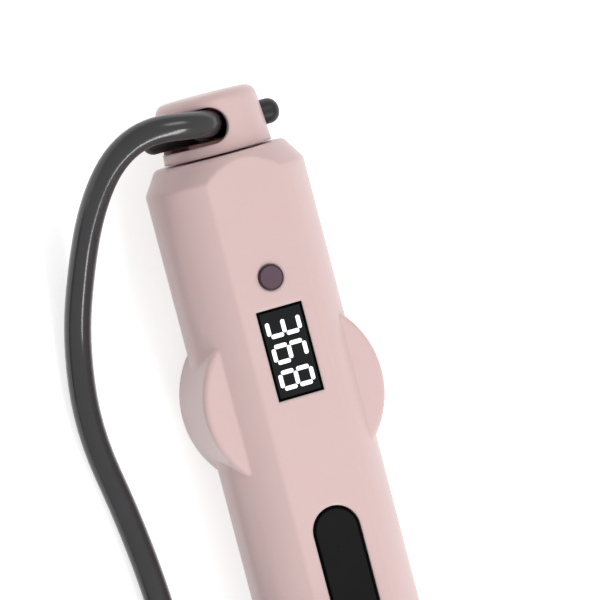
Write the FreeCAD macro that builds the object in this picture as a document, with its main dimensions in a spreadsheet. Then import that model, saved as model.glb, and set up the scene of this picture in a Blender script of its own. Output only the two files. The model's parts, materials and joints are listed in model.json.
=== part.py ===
import FreeCAD, Part
import math
import os
import re

import Sketcher
from FreeCAD import Placement, Rotation, Vector

# A curling iron with a round handle, a swivelling cord cap, a heated barrel and a sprung clamp.
# Every piece is laid out along X from the handle's tail face, then moved so that the origin lies
# on the back flat, under the middle of the round boss. The iron lies on that flat, display up.

SIZES = {
    # Handle: a round bar with one flat in front and one behind, and a sloped shoulder at its tail
    "handle_radius": 19.0,
    "flat_cut": 2.4,
    "axis_height": "=handle_radius - flat_cut",
    "handle_length": 150.0,
    "tail_radius": 15.5,
    "shoulder_length": 5.3,
    "tail_round": 1.5,
    "wall": 2.4,
    "end_wall": 4.0,
    "split_height": 4.9,
    "flat_edge": 1.2,
    # Clearances: a sliding fit, and the air between pieces that pass each other
    "fit": 0.05,
    "air": 0.3,
    # Round boss that keeps the handle from rolling
    "boss_x": 57.9,
    "boss_radius": 22.0,
    "boss_thickness": 23.4,
    "boss_edge": 1.4,
    # Controls on the front flat
    "button_x": 29.8,
    "button_radius": 3.0,
    "button_rise": 0.7,
    "button_travel": 0.6,
    "button_stem": 5.3,
    "display_x": 36.9,
    "display_width": 11.2,
    "display_length": 21.2,
    "window_lip": 1.0,
    "window_lip_depth": 0.8,
    "rocker_x": 84.8,
    "rocker_width": 11.1,
    "rocker_length": 38.0,
    "rocker_depth": 1.8,
    "rocker_hub_length": 6.0,
    "rocker_pin_depth": 4.3,
    "rocker_pin_radius": 1.0,
    "rocker_ear_offset": 1.1,
    "rocker_ear_length": 4.0,
    "rocker_ear_thickness": 1.6,
    "rocker_nub_offset": 14.0,
    "rocker_nub_drop": 3.4,
    # Circuit board and what it carries
    "board_x": 24.0,
    "board_length": 102.0,
    "board_width": 26.0,
    "board_thickness": 1.6,
    "board_height": 21.5,
    "board_screw_inset": 4.0,
    "board_screw_side": 11.0,
    "switch_size": 6.0,
    "switch_body": 3.4,
    "switch_gap": 0.6,
    "chip_x": 66.0,
    "chip_length": 10.0,
    "chip_width": 4.0,
    "chip_thickness": 1.8,
    "triac_x": 100.0,
    "triac_length": 15.0,
    "triac_width": 10.0,
    "triac_thickness": 4.5,
    "capacitor_x": 70.0,
    "capacitor_length": 18.0,
    "capacitor_width": 8.0,
    "capacitor_depth": 13.0,
    # Screws that hold the two housings together
    "post_radius": 2.6,
    "seat_wall": 0.6,
    "post_side": 6.5,
    "tail_post_x": 20.5,
    "nose_post_x": 134.0,
    "screw_radius": 1.2,
    "screw_head_radius": 2.2,
    "screw_head_depth": 1.2,
    "screw_length": 12.0,
    # Cord swivel at the tail
    "socket_radius": 7.0,
    "socket_flange_radius": 9.0,
    "socket_flange": 1.0,
    "shelf_length": 11.0,
    "shelf_width": 10.0,
    "shelf_drop": 7.2,
    "shelf_thickness": 1.4,
    "spindle_radius": 4.0,
    "spindle_bore": 2.6,
    "spindle_length": 17.0,
    "spindle_flange_radius": 6.5,
    "spindle_flange": 1.1,
    "clip_radius": 6.0,
    "clip_thickness": 0.8,
    "clip_groove": 0.65,
    "ring_radius": 6.0,
    "ring_width": 2.0,
    "ring_x": 8.0,
    "ring_pitch": 4.0,
    "brush_width": 6.0,
    "brush_air": 0.15,
    # Swivel cap
    "cap_gap": 0.5,
    "cap_radius": 12.85,
    "cap_top_radius": 11.9,
    "cap_length": 13.9,
    "cap_round": 2.7,
    "cap_wall": 1.8,
    "cap_floor": 2.0,
    "slot_x": 3.0,
    "slot_width": 8.6,
    "slot_end": 0.8,
    "slot_depth": 6.0,
    "bar_x": 6.8,
    "bar_drop": 0.9,
    "bar_radius": 3.0,
    "bar_length": 34.0,
    "bar_round": 2.6,
    "boot_x": 7.8,
    "boot_side": 2.7,
    "boot_radius": 3.9,
    "boot_rise": 2.6,
    # Cord, its coil and strap
    "cord_radius": 3.2,
    "coil_x": 142.0,
    "coil_side": 80.9,
    "coil_radius": 32.9,
    "coil_columns": 4.0,
    "coil_layers": 2.0,
    "coil_slack": 0.8,
    "coil_round": 2.4,
    "strap_thickness": 0.8,
    "strap_angle": 16.0,
    "strap_turn": -35.0,
    # Mains plug with two round pins
    "plug_x": 16.0,
    "plug_side": 108.0,
    "plug_width": 35.3,
    "plug_thickness": 13.7,
    "plug_length": 32.0,
    "plug_face_length": 12.0,
    "plug_neck_width": 13.0,
    "plug_round": 2.5,
    "plug_pin_radius": 2.0,
    "plug_pin_length": 19.0,
    "plug_pin_tip": 9.0,
    "plug_pin_core": 1.5,
    "plug_pin_root": 6.0,
    "plug_sleeve_radius": 1.8,
    "plug_pin_spacing": 19.0,
    "plug_boot_length": 18.0,
    "plug_boot_radius": 4.8,
    "plug_boot_tip": 4.0,
    "plug_boot_groove": 0.8,
    # Heat guard between handle and barrel
    "spigot_length": 8.0,
    "collar_length": 12.0,
    "collar_radius": 18.6,
    "collar_nose": 14.6,
    "collar_bore": 8.0,
    "seat_length": 12.0,
    # Barrel
    "barrel_radius": 12.5,
    "barrel_wall": 1.0,
    "barrel_length": 155.0,
    "barrel_screw_inset": 6.0,
    "tip_spigot": 10.0,
    "tip_radius": 13.3,
    "tip_length": 21.0,
    "tip_slope": 6.0,
    "tip_end_radius": 9.0,
    "tip_wall": 2.0,
    "tip_round": 2.0,
    # Heater inside the barrel
    "heater_x": 28.0,
    "heater_length": 70.0,
    "stone_length": 20.0,
    "stone_width": 9.0,
    "stone_thickness": 2.4,
    "stone_pitch": 22.0,
    "mica": 0.35,
    "channel_radius": 3.5,
    "channel_height": 6.3,
    "bead_radius": 1.2,
    "bead_length": 6.0,
    "fuse_radius": 2.0,
    "fuse_length": 9.0,
    "lead_radius": 0.8,
    "lead_side": 2.5,
    "lead_overlap": 8.0,
    # Clamp, its pivot and its thumb lever
    "pivot_x": 10.0,
    "pivot_height": 16.7,
    "pivot_pin_radius": 1.5,
    "pivot_pin_length": 14.4,
    "bracket_length": 12.0,
    "bracket_width": 9.6,
    "bracket_top": 13.4,
    "ear_radius": 3.0,
    "ear_thickness": 1.4,
    "clamp_x": 20.0,
    "clamp_length": 132.0,
    "clamp_thickness": 0.8,
    "clamp_angle": 124.0,
    "crown_length": 14.0,
    "crown_width": 9.8,
    "crown_height": 14.6,
    "lever_width": 13.4,
    "lever_thickness": 1.4,
    "lever_bridge": 20.2,
    "lever_ear_width": 1.2,
    "lever_ear_radius": 3.2,
    "lever_tip_x": 34.0,
    "lever_tip_height": 29.0,
    "grip_length": 24.0,
    "grip_width": 17.0,
    "grip_thickness": 2.6,
    "grip_overhang": 2.0,
    "grip_round": 1.2,
    "rivet_radius": 1.2,
    "rivet_head_radius": 2.1,
    "rivet_head": 0.8,
    "rivet_inset": 4.0,
    "rivet_pitch": 6.0,
    "spring_radius": 2.4,
    "spring_wire": 0.45,
    "spring_pitch": 1.2,
    "spring_turns": 4.5,
    "spring_leg": 9.0,
    # Fold-out stand under the barrel
    "stand_x": 3.0,
    "stand_pin_radius": 1.0,
    "stand_pin_height": 1.8,
    "stand_hub_radius": 1.8,
    "stand_width": 13.2,
    "stand_length": 30.0,
    "stand_thickness": 1.6,
    "stand_window": 6.0,
    "lug_gap": 0.6,
    "lug_thickness": 2.2,
    "lug_length": 5.0,
    "lug_height": 6.0,
}

# Places along X that several pieces share
FRONT = "(2 * axis_height)"
INNER_FRONT = "(2 * axis_height - wall)"
BARREL_START = "(handle_length + collar_length)"
BARREL_END = "(handle_length + collar_length + barrel_length)"
BARREL_INSIDE = "(barrel_radius - barrel_wall)"
HEATER_START = "(handle_length + collar_length + heater_x)"
PIVOT = "(handle_length + collar_length + pivot_x)"
CLAMP_START = "(handle_length + collar_length + clamp_x)"
STAND_PIVOT = "(handle_length + collar_length + stand_x)"
BOARD_TOP = "(board_height + board_thickness)"
ROCKER_MIDDLE = "(rocker_x + rocker_length / 2)"
COIL_TOP = "(strap_thickness + 2 * cord_radius * coil_layers + coil_slack)"
COIL_HALF_WIDTH = "(cord_radius * coil_columns + coil_slack)"

# Turns that lay a shape's own Z along another direction
ALONG = {
    "X": Rotation(Vector(0, 1, 0), 90),
    "Y": Rotation(Vector(1, 0, 0), -90),
    "Z": Rotation(),
}

# The free cord's route from its boot in the cap to its coil: X from the tail face, Y, and height
RUN_ROUTE = [
    (-7.8, -2.7, 19.2),
    (-7.8, -2.7, 25.4),
    (-8.4, -7.4, 30.1),
    (-10.2, -18.6, 30.0),
    (-5.9, -28.3, 26.3),
    (4.2, -34.2, 18.4),
    (17.5, -37.8, 9.3),
    (34.0, -41.4, 3.3),
    (55.0, -43.4, 3.2),
    (78.0, -39.9, 3.2),
    (101.0, -37.8, 3.5),
    (128.0, -37.8, 4.1),
]
# From the coil's upper layer down to the plug
TAIL_ROUTE = [
    (134.0, -124.2, 10.4),
    (116.0, -124.2, 8.2),
    (99.0, -117.0, 5.4),
    (83.0, -108.0, 6.85),
    (66.0, -108.0, 6.85),
]
COIL_TURNS = 6.5

doc = FreeCAD.newDocument("CurlingIron")
sheet = doc.addObject("Spreadsheet::Sheet", "Sizes")
for row, (alias, size) in enumerate(SIZES.items(), start=1):
    sheet.set(f"A{row}", str(size))
    sheet.setAlias(f"A{row}", alias)
doc.recompute()

NODES = {}


# ---- Helpers: sizes bound to the sheet ----


def bound(text):
    """The text of an expression, with each size's name pointed at the sheet."""
    return re.sub(r"[a-z][a-z0-9_]+", lambda m: "Sizes." + m.group() if m.group() in SIZES else m.group(), text)


def amount(text):
    """What an expression comes to now."""
    return float(sheet.evalExpression(bound(text)))


def bind(thing, **sizes):
    for name, text in sizes.items():
        thing.setExpression(name, bound(text))


def place(thing, x, y, z, turn=None):
    """Puts a shape at X from the tail face, Y from the middle and Z from the rest face."""
    thing.Placement = Placement(Vector(), turn or Rotation())
    bind(thing, **{"Placement.Base.x": f"{x} - boss_x", "Placement.Base.y": y, "Placement.Base.z": z})
    return thing


def rod(name, radius, start, length, along="X", x="0", y="0", z="axis_height"):
    """A cylinder along X, Y or Z. Its start is a place on that axis, and x, y, z give the other two."""
    thing = doc.addObject("Part::Cylinder", name)
    bind(thing, Radius=radius, Height=length)
    where = {"X": x, "Y": y, "Z": z}
    where[along] = start
    return place(thing, where["X"], where["Y"], where["Z"], ALONG[along])


def tube(name, outer, inner, start, length, **where):
    solid = rod(name + "_outside", outer, start, length, **where)
    return cut(name, solid, rod(name + "_inside", inner, f"{start} - 1", f"{length} + 2", **where))


def block(name, x, length, width, z, height, y=None):
    """A box from x and z, centred on Y = 0 or on y."""
    thing = doc.addObject("Part::Box", name)
    bind(thing, Length=length, Width=width, Height=height)
    middle = y or "0"
    return place(thing, x, f"{middle} - ({width}) / 2", z)


def joined(name, *pieces):
    thing = doc.addObject("Part::MultiFuse", name)
    thing.Shapes = list(pieces)
    return thing


def cut(name, base, *tools):
    thing = doc.addObject("Part::Cut", name)
    thing.Base = base
    thing.Tool = tools[0] if len(tools) == 1 else joined(name + "_tools", *tools)
    return thing


def common(name, *pieces):
    thing = doc.addObject("Part::MultiCommon", name)
    thing.Shapes = list(pieces)
    return thing


def group(name, pieces):
    thing = doc.addObject("Part::Compound", name)
    thing.Links = list(pieces)
    return thing


def rounded(name, base, radius, chosen):
    """Rounds the edges for which chosen(edge) is true."""
    doc.recompute()
    size = amount(radius)
    thing = doc.addObject("Part::Fillet", name)
    thing.Base = base
    thing.Edges = [(n, size, size) for n, edge in enumerate(base.Shape.Edges, start=1) if chosen(edge)]
    return thing


def is_circle(edge):
    return edge.Curve.TypeId == "Part::GeomCircle"


def outline(body, name, plane, corners):
    """A closed sketch of straight sides, each corner held at a pair of expressions."""
    sketch = body.newObject("Sketcher::SketchObject", name)
    base = [f for f in body.Origin.OriginFeatures if f.Role == plane][0]
    sketch.AttachmentSupport = [(base, "")]
    sketch.MapMode = "FlatFace"
    points = [Vector(amount(across), amount(up), 0) for across, up in corners]
    count = len(points)
    for i in range(count):
        sketch.addGeometry(Part.LineSegment(points[i], points[(i + 1) % count]))
    for i in range(count):
        sketch.addConstraint(Sketcher.Constraint("Coincident", i, 2, (i + 1) % count, 1))
    for i, corner in enumerate(corners):
        for kind, text in zip(("DistanceX", "DistanceY"), corner):
            number = sketch.addConstraint(Sketcher.Constraint(kind, -1, 1, i, 1, amount(text)))
            sketch.setExpression(f"Constraints[{number}]", bound(text))
    return sketch


def new_body(name, x="0", y="0", z="0"):
    return place(doc.addObject("PartDesign::Body", name), x, y, z)


def turned(name, corners, y="0", z="axis_height"):
    """A body turned about X from corners of (X, radius)."""
    body = new_body(name, y=y, z=z)
    turn = body.newObject("PartDesign::Revolution", name + "_turn")
    turn.Profile = outline(body, name + "_outline", "XZ_Plane", corners)
    turn.ReferenceAxis = (turn.Profile[0], ["H_Axis"])
    turn.Angle = 360
    return body


def padded(name, plane, corners, thickness, **where):
    """A body padded evenly to both sides of a plane from its outline."""
    body = new_body(name, **where)
    pad = body.newObject("PartDesign::Pad", name + "_pad")
    pad.Profile = outline(body, name + "_outline", plane, corners)
    bind(pad, Length=thickness)
    pad.Midplane = True
    return body


def body_round(body, name, radius, chosen):
    """Rounds edges of a body's last feature."""
    doc.recompute()
    last = body.Tip
    edges = [f"Edge{n}" for n, edge in enumerate(last.Shape.Edges, start=1) if chosen(edge)]
    fillet = body.newObject("PartDesign::Fillet", name)
    fillet.Base = (last, edges)
    bind(fillet, Radius=radius)
    return body


def node(name, thing):
    thing.Label = name
    NODES[name] = thing
    return thing


# ---- Handle housings ----


def handle_bar(name):
    """The handle's outside: a turned bar with its two flats, whose edges are softened."""
    corners = [
        ("0", "0"),
        ("0", "tail_radius"),
        ("shoulder_length", "handle_radius"),
        ("handle_length", "handle_radius"),
        ("handle_length", "0"),
    ]
    limit = block(name + "_flats", "-1", "handle_length + 2", "3 * handle_radius", "0", FRONT)
    round_bar = turned(name + "_round", corners)
    body_round(round_bar, name + "_tail", "tail_round", lambda e: is_circle(e) and e.CenterOfMass.x < 0.1)
    bar = common(name + "_flatted", round_bar, limit)
    doc.recompute()
    end_x = amount("handle_length - boss_x") - 0.1
    faces = [face for face in bar.Shape.Faces if abs(abs(face.normalAt(0, 0).z) - 1) < 0.001]
    borders = [edge for face in faces for edge in face.Edges if edge.CenterOfMass.x < end_x]
    return rounded(name, bar, "flat_edge", lambda edge: any(edge.isSame(border) for border in borders))


def handle_room(name):
    """The hollow inside both housings."""
    bore = rod(name + "_bore", "handle_radius - wall", "end_wall", "handle_length")
    width = "2 * handle_radius"
    return common(name, bore, block(name + "_flats", "0", "2 * handle_length", width, "wall", f"{FRONT} - 2 * wall"))


def post_places():
    return [(x, side) for x in ("tail_post_x", "nose_post_x") for side in ("post_side", "-post_side")]


def board_screw_places():
    ends = ("board_x + board_screw_inset", "board_x + board_length - board_screw_inset")
    return [(x, side) for x in ends for side in ("board_screw_side", "-board_screw_side")]


def pill(name, grow, z, height):
    """The rocker's rounded outline, grown by a clearance, as a solid."""
    radius = f"rocker_width / 2 + {grow}"
    reach = "rocker_width / 2"
    ends = [
        rod(f"{name}_end_{n}", radius, z, height, along="Z", x=x)
        for n, x in enumerate((f"rocker_x + {reach}", f"rocker_x + rocker_length - {reach}"))
    ]
    width = f"(rocker_width + 2 * {grow})"
    middle = block(name + "_middle", f"rocker_x + {reach}", "rocker_length - rocker_width", width, z, height)
    return joined(name, middle, *ends)


def front_openings():
    """Holes through the front flat: display, button and rocker."""
    depth = "2 * wall"
    length = "display_length + 2 * fit"
    width = "display_width + 2 * fit"
    return [
        block("display_opening", "display_x - fit", length, width, INNER_FRONT + " - 1", depth),
        rod("button_opening", "button_radius + fit", INNER_FRONT + " - 1", depth, along="Z", x="button_x"),
        pill("rocker_opening", "air", INNER_FRONT + " - 1", depth),
    ]


def rocker_lugs():
    """Two ears under the front flat that carry the rocker's pin."""
    side = "(rocker_width / 2 + air + rocker_ear_offset)"
    drop = f"{FRONT} - rocker_pin_depth - 2 * rocker_pin_radius"
    ears = [
        block(f"rocker_lug_{n}", f"{ROCKER_MIDDLE} - rocker_ear_length / 2", "rocker_ear_length",
              "rocker_ear_thickness", drop, f"{INNER_FRONT} + 0.4 - ({drop})", y=y)
        for n, y in enumerate((side, "-" + side))
    ]
    return ears


def front_housing():
    width = "2 * boss_radius + 2"
    upper = block("front_half", "-1", "handle_length + 2", width, "split_height", f"{FRONT} - split_height")
    shell = common("front_shell", handle_bar("front_bar"), upper)
    disc = rod("boss_disc", "boss_radius", "split_height", "boss_thickness", along="Z", x="boss_x")
    boss = rounded("boss", disc, "boss_edge", is_circle)
    hollow = cut("front_hollow", joined("front_with_boss", shell, boss), handle_room("front_room"))
    posts = []
    holes = []
    for n, (x, y) in enumerate(post_places()):
        posts.append(rod(f"post_{n}", "post_radius", "split_height", f"{INNER_FRONT} + wall / 4 - split_height",
                         along="Z", x=x, y=y))
        holes.append(rod(f"post_hole_{n}", "screw_radius", "0", "screw_length + wall", along="Z", x=x, y=y))
    for n, (x, y) in enumerate(board_screw_places()):
        posts.append(rod(f"board_post_{n}", "post_radius - 0.4", BOARD_TOP, "5", along="Z", x=x, y=y))
        holes.append(rod(f"board_hole_{n}", "screw_radius", BOARD_TOP, "4", along="Z", x=x, y=y))
    solid = joined("front_with_posts", hollow, *posts, *rocker_lugs())
    pin_hole = rod(
        "rocker_lug_bore", "rocker_pin_radius + fit / 2", "-rocker_width", "2 * rocker_width",
        along="Y", x=ROCKER_MIDDLE, z=f"{FRONT} - rocker_pin_depth",
    )
    bore = rod("socket_bore", "socket_radius + fit", "-1", "end_wall + 2")
    node("front_housing", cut("front_housing", solid, bore, pin_hole, *front_openings(), *holes))


def rear_cover():
    width = "2 * handle_radius + 2"
    lower = block("rear_half", "-1", "handle_length + 2", width, "0", "split_height")
    shell = common("rear_shell", handle_bar("rear_bar"), lower)
    hollow = cut("rear_hollow", shell, handle_room("rear_room"))
    seats = []
    holes = []
    for n, (x, y) in enumerate(post_places()):
        seats.append(rod(f"seat_{n}", "post_radius + seat_wall", "wall / 2", "split_height - wall / 2", along="Z", x=x, y=y))
        holes.append(rod(f"seat_hole_{n}", "screw_radius + 0.2", "-1", "split_height + 2", along="Z", x=x, y=y))
        head = "screw_head_radius + 0.2"
        holes.append(rod(f"head_hole_{n}", head, "-1", "screw_head_depth + 1.4", along="Z", x=x, y=y))
    solid = common("rear_with_seats", joined("rear_seated", hollow, *seats), lower, handle_bar("rear_limit"))
    node("rear_cover", cut("rear_cover", solid, *holes))


def pan_screws(name, places, z, length, head):
    """Screws that stand upright with their heads down at z."""
    screws = []
    for n, (x, y) in enumerate(places):
        top = rod(f"{name}_head_{n}", "screw_head_radius", z, head, along="Z", x=x, y=y)
        shank = rod(f"{name}_shank_{n}", "screw_radius", z, length, along="Z", x=x, y=y)
        screws.append(joined(f"{name}_{n}", top, shank))
    node(name, group(name, screws))


# ---- Controls and electronics ----


def display():
    glass = block("window_glass", "display_x", "display_length", "display_width", INNER_FRONT, "wall - fit")
    length = "display_length + 2 * window_lip"
    width = "display_width + 2 * window_lip"
    lip = block("window_rim", "display_x - window_lip", length, width, f"{INNER_FRONT} - window_lip_depth",
                "window_lip_depth")
    node("display_window", joined("display_window", glass, lip))
    height = f"{INNER_FRONT} - window_lip_depth - {BOARD_TOP}"
    node("display_module", block("display_module", "display_x", "display_length", "display_width", BOARD_TOP, height))


def board():
    plate = block("board_plate", "board_x", "board_length", "board_width", "board_height", "board_thickness")
    holes = [
        rod(f"board_plate_hole_{n}", "screw_radius + 0.2", "board_height - 1", "board_thickness + 2",
            along="Z", x=x, y=y)
        for n, (x, y) in enumerate(board_screw_places())
    ]
    node("control_board", cut("control_board", plate, *holes))


def tact_switch(name, x, stem_top):
    """A small push switch on the board, its stem reaching up to stem_top."""
    body = block(name + "_body", f"{x} - switch_size / 2", "switch_size", "switch_size", BOARD_TOP, "switch_body")
    stem = rod(name + "_stem", "switch_size / 4", BOARD_TOP, f"{stem_top} - {BOARD_TOP}", along="Z", x=x)
    return joined(name, body, stem)


def button_bottom():
    return f"({FRONT} - button_stem)"


def switches():
    stem_top = f"({button_bottom()} - button_travel - 0.1)"
    node("power_switch", tact_switch("power_switch", "button_x", stem_top))
    nub_bottom = f"({FRONT} - rocker_depth - rocker_nub_drop)"
    pair = [
        tact_switch(f"rocker_switch_{n}", x, f"({nub_bottom} - switch_gap)")
        for n, x in enumerate((f"({ROCKER_MIDDLE} - rocker_nub_offset)", f"({ROCKER_MIDDLE} + rocker_nub_offset)"))
    ]
    node("rocker_switches", group("rocker_switches", pair))


def board_parts():
    node("controller_chip", block("controller_chip", "chip_x", "chip_length", "chip_width", BOARD_TOP,
                                  "chip_thickness"))
    node("triac", block("triac", "triac_x", "triac_length", "triac_width", "board_height - triac_thickness",
                        "triac_thickness"))
    node("film_capacitor", block("film_capacitor", "capacitor_x", "capacitor_length", "capacitor_width",
                                 "board_height - capacitor_depth", "capacitor_depth"))


def power_button():
    """A round push button held in its hole by a rim under the wall."""
    bottom = button_bottom()
    top = f"{FRONT} + button_rise"
    stem = rod("button_stem", "button_radius", bottom, f"{top} - {bottom}", along="Z", x="button_x")
    cap = rounded("button_cap", stem, "0.35", lambda edge: is_circle(edge) and edge.Curve.Center.z > amount(FRONT))
    rim = rod("button_rim", "button_radius + 1", f"{INNER_FRONT} - 1", "0.9", along="Z", x="button_x")
    node("power_button", joined("power_button", cap, rim))


def temperature_rocker():
    """A pill-shaped rocker, flush with the flat, with a hub on its pin and a nub over each switch."""
    top = f"{FRONT} - rocker_depth"
    plate = pill("rocker_plate", "0", top, "rocker_depth")
    hub_bottom = f"({FRONT} - rocker_pin_depth - 2.2 * rocker_pin_radius)"
    hub = block("rocker_hub", f"{ROCKER_MIDDLE} - rocker_hub_length / 2", "rocker_hub_length", "rocker_width - 1",
                hub_bottom, f"{top} + 0.2 - {hub_bottom}")
    nubs = [
        rod(f"rocker_nub_{n}", "1.5", f"{top} - rocker_nub_drop", "rocker_nub_drop + 0.2", along="Z",
            x=f"{ROCKER_MIDDLE} {sign} rocker_nub_offset")
        for n, sign in enumerate("-+")
    ]
    bore = rod("rocker_bore", "rocker_pin_radius + fit", "-rocker_width", "2 * rocker_width", along="Y",
               x=ROCKER_MIDDLE, z=f"{FRONT} - rocker_pin_depth")
    node("temperature_rocker", cut("temperature_rocker", joined("rocker_solid", plate, hub, *nubs), bore))
    half = "(rocker_width / 2 + air + rocker_ear_offset + rocker_ear_thickness / 2)"
    node("rocker_pin", rod("rocker_pin", "rocker_pin_radius", "-" + half, "2 * " + half, along="Y",
                           x=ROCKER_MIDDLE, z=f"{FRONT} - rocker_pin_depth"))


# ---- Cord swivel ----


def swivel_socket():
    bush = rod("socket_bush", "socket_radius", "0", "end_wall + socket_flange")
    flange = rod("socket_flange_disc", "socket_flange_radius", "end_wall", "socket_flange")
    shelf = block("socket_shelf", "end_wall", "socket_flange + shelf_length", "shelf_width",
                  "axis_height - shelf_drop - shelf_thickness", "shelf_thickness")
    bore = rod("spindle_hole", "spindle_radius + fit", "-1", "end_wall + socket_flange + 2")
    node("swivel_socket", cut("swivel_socket", joined("socket_solid", bush, flange, shelf), bore))


def swivel_spindle():
    start = "(-cap_gap - cap_floor)"
    stem = rod("spindle_stem", "spindle_radius", start, f"spindle_length - {start}")
    flange = rod("spindle_flange_disc", "spindle_flange_radius", f"{start} - spindle_flange", "spindle_flange")
    bore = rod("spindle_wire_way", "spindle_bore", f"{start} - 3", "spindle_length + 10")
    clip_start = "end_wall + socket_flange + 0.25"
    groove = tube("spindle_groove", "spindle_radius + 1", "spindle_radius - clip_groove", clip_start,
                  "clip_thickness + fit")
    node("swivel_spindle", cut("swivel_spindle", joined("spindle_solid", stem, flange), bore, groove))
    ring = tube("clip_ring", "clip_radius", "spindle_radius - clip_groove", clip_start, "clip_thickness")
    mouth = block("clip_mouth", clip_start + " - 1", "clip_thickness + 2", "spindle_radius", "axis_height",
                  "clip_radius + 1")
    node("retaining_clip", cut("retaining_clip", ring, mouth))


def slip_contacts():
    """Two rings on the spindle, and a brush on the shelf under each."""
    starts = ["ring_x", "ring_x + ring_pitch"]
    rings = [tube(f"slip_ring_{n}", "ring_radius", "spindle_radius", x, "ring_width") for n, x in enumerate(starts)]
    node("slip_rings", group("slip_rings", rings))
    shelf_top = "axis_height - shelf_drop"
    height = "shelf_drop - ring_radius - brush_air"
    brushes = [
        block(f"brush_{n}", f"{x} + 0.2", "ring_width - 0.4", "brush_width", shelf_top, height)
        for n, x in enumerate(starts)
    ]
    node("contact_brushes", group("contact_brushes", brushes))


def cord_slot():
    """The slot that lets the cord out: from just past the middle of the front round to one side."""
    middle = "(slot_end - slot_width / 2)"
    low = "axis_height - slot_depth"
    height = "slot_depth + 2 * cap_radius"
    width = "(2 * cap_radius)"
    start = "-cap_gap - slot_x - slot_width + 0.5"
    run = block("slot_run", start, "slot_width", width, low, height, y=f"({middle} - cap_radius)")
    end = rod("slot_round", "slot_width / 2", low, height, along="Z", x=f"{start} + slot_width / 2", y=middle)
    return joined("cord_slot", run, end)


def swivel_cap():
    outer = turned("cap_outside", [
        ("-cap_gap", "0"),
        ("-cap_gap", "cap_radius"),
        ("-cap_gap - cap_length", "cap_top_radius"),
        ("-cap_gap - cap_length", "0"),
    ])
    top = amount("-cap_gap - cap_length") + 0.1
    body_round(outer, "cap_top_round", "cap_round", lambda e: is_circle(e) and e.CenterOfMass.x < top)
    room = turned("cap_room", [
        ("-cap_gap - cap_floor", "0"),
        ("-cap_gap - cap_floor", "cap_radius - cap_wall"),
        ("-cap_gap - cap_length + cap_wall", "cap_top_radius - cap_wall"),
        ("-cap_gap - cap_length + cap_wall", "0"),
    ])
    hole = rod("cap_spindle_hole", "spindle_radius + fit / 2", "-cap_floor - 1", "cap_floor + 2")
    bar = rod("cap_bar_hole", "bar_radius + fit / 2", "-bar_length / 2", "bar_length", along="Y", x="-bar_x",
              z="axis_height - bar_drop")
    node("swivel_cap", cut("swivel_cap", outer, room, hole, bar, cord_slot()))


def cord_anchor():
    """The bar across the cap, and the rubber boot on it that the cord comes out of."""
    bar = rod("bar_blank", "bar_radius", "-bar_length / 2", "bar_length", along="Y", x="-bar_x",
              z="axis_height - bar_drop")
    node("cord_crossbar", rounded("cord_crossbar", bar, "bar_round", is_circle))
    boot = rod("boot_blank", "boot_radius", "axis_height - bar_drop", "boot_rise + bar_drop", along="Z", x="-boot_x",
               y="-boot_side")
    saddle = rod("boot_saddle", "bar_radius + fit / 2", "-bar_length / 2", "bar_length", along="Y", x="-bar_x",
                 z="axis_height - bar_drop")
    node("cord_boot", cut("cord_boot", boot, saddle))


# ---- Free cord, coil and plug ----


def corner_radius(points, i):
    """The largest arc that its two runs allow at corner i, and half the turn there."""
    before = points[i] - points[i - 1]
    after = points[i + 1] - points[i]
    half = before.getAngle(after) / 2
    return 0.45 * min(before.Length, after.Length) / math.tan(half), half


def cord_path(route):
    """Straight runs joined by tangent arcs, and the radius of each arc."""
    points = [Vector(x - SIZES["boss_x"], y, z) for x, y, z in route]
    edges = []
    radii = []
    at = points[0]
    for i in range(1, len(points) - 1):
        radius, half = corner_radius(points, i)
        back = (points[i - 1] - points[i]).normalize()
        ahead = (points[i + 1] - points[i]).normalize()
        reach = radius * math.tan(half)
        start = points[i] + back * reach
        end = points[i] + ahead * reach
        inward = (back + ahead).normalize()
        middle = points[i] + inward * (radius / math.cos(half) - radius)
        edges.append(Part.LineSegment(at, start).toShape())
        edges.append(Part.Arc(start, middle, end).toShape())
        radii.append(radius)
        at = end
    edges.append(Part.LineSegment(at, points[-1]).toShape())
    return Part.Wire(edges), radii


def cord_tube(name, route, coil):
    """A round tube along the route, cut where it meets the coil."""
    path, radii = cord_path(route)
    print(name, "radii", [round(r, 1) for r in radii], "length", round(path.Length, 1))
    first = path.Edges[0]
    start = first.valueAt(first.FirstParameter)
    ring = Part.Wire(Part.makeCircle(SIZES["cord_radius"], start, first.tangentAt(first.FirstParameter)))
    solid = path.makePipeShell([ring], True, False)
    ideal = math.pi * SIZES["cord_radius"] ** 2 * path.Length
    if abs(solid.Volume - ideal) > 0.01 * ideal:
        raise ValueError(f"{name} holds {solid.Volume}, not {ideal}")
    thing = doc.addObject("Part::Feature", name)
    thing.Shape = solid.cut(coil.Shape)
    node(name, thing)
    return path.Length


def coil_blank(grow):
    """The ring that the coiled turns fill, grown by a thickness."""
    half = f"({COIL_HALF_WIDTH} + {grow})"
    low = f"strap_thickness - {grow}"
    height = f"{COIL_TOP} - strap_thickness + 2 * {grow}"
    return low, height, f"coil_radius + {half}", f"coil_radius - {half}"


def cord_coil():
    low, height, outer, inner = coil_blank("0")
    ring = tube("coil_ring", outer, inner, low, height, along="Z", x="coil_x", y="-coil_side")
    return node("cord_coil", rounded("cord_coil", ring, "coil_round", is_circle))


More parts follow.
